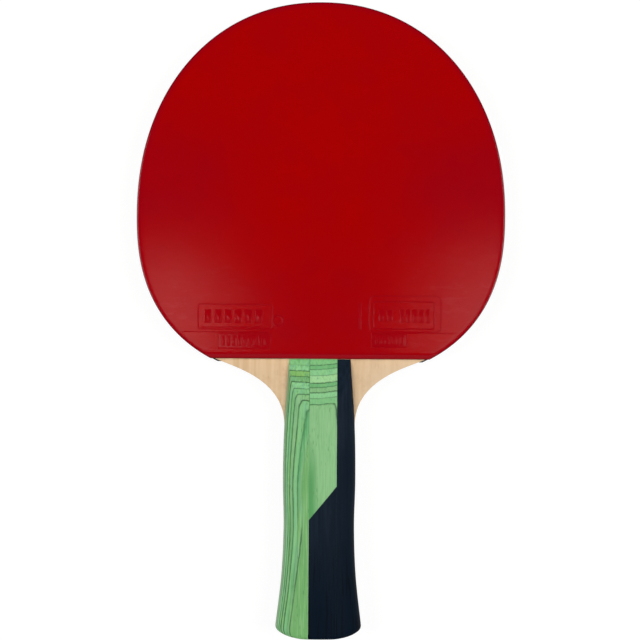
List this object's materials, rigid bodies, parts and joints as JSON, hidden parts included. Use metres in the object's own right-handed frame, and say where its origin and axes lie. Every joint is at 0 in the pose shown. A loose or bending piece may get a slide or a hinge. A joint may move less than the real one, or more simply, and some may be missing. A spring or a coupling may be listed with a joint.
{
  "type": "table tennis bat",
  "caption": "Shakehand table tennis bat with a rounded head, a red and a black rubber face, and a flared handle inlaid in green and dark laminated wood.",
  "frame": {"origin": "centre of the footprint, at the level of the handle's lowest point", "axes": "the bat lies flat with its red face up: +Y runs from the handle to the top of the head, +Z is square to the faces and points from the black face to the red one, +X is across the head"},
  "size_m": [0.15, 0.2588, 0.0256],
  "materials": {
    "red_rubber": "satin",
    "black_rubber": "satin",
    "sponge_foam": "matte, open foam",
    "dark_foam": "matte, open foam",
    "face_wood": "sanded, unlacquered",
    "inner_wood": "cut edge",
    "core_wood": "cut edge",
    "green_wood": "dyed, satin lacquer",
    "dark_wood": "dyed, satin lacquer"
  },
  "bodies": {
    "root": {"core_ply": "core_wood", "front_inner_ply": "inner_wood", "front_face_ply": "face_wood", "back_inner_ply": "inner_wood", "back_face_ply": "face_wood", "front_sponge": "sponge_foam", "front_topsheet": "red_rubber", "back_sponge": "dark_foam", "back_topsheet": "black_rubber", "front_side_veneer_1": "green_wood", "front_side_veneer_2": "green_wood", "front_side_veneer_3": "green_wood", "front_side_veneer_4": "green_wood", "front_side_veneer_5": "green_wood", "front_side_veneer_6": "green_wood", "front_side_veneer_7": "green_wood", "front_side_veneer_8": "green_wood", "front_side_veneer_9": "green_wood", "front_side_veneer_10": "green_wood", "front_middle_veneer_1": "green_wood", "front_middle_veneer_2": "green_wood", "front_middle_veneer_3": "green_wood", "front_middle_veneer_4": "green_wood", "front_middle_veneer_5": "green_wood", "front_middle_veneer_6": "green_wood", "front_middle_veneer_7": "green_wood", "front_middle_veneer_8": "green_wood", "front_middle_veneer_9": "green_wood", "front_middle_veneer_10": "green_wood", "front_dark_block": "dark_wood", "front_dark_strip": "dark_wood", "back_side_veneer_1": "green_wood", "back_side_veneer_2": "green_wood", "back_side_veneer_3": "green_wood", "back_side_veneer_4": "green_wood", "back_side_veneer_5": "green_wood", "back_side_veneer_6": "green_wood", "back_side_veneer_7": "green_wood", "back_side_veneer_8": "green_wood", "back_side_veneer_9": "green_wood", "back_side_veneer_10": "green_wood", "back_middle_veneer_1": "green_wood", "back_middle_veneer_2": "green_wood", "back_middle_veneer_3": "green_wood", "back_middle_veneer_4": "green_wood", "back_middle_veneer_5": "green_wood", "back_middle_veneer_6": "green_wood", "back_middle_veneer_7": "green_wood", "back_middle_veneer_8": "green_wood", "back_middle_veneer_9": "green_wood", "back_middle_veneer_10": "green_wood", "back_dark_block": "dark_wood", "back_dark_strip": "dark_wood"}
  },
  "joints": []
}
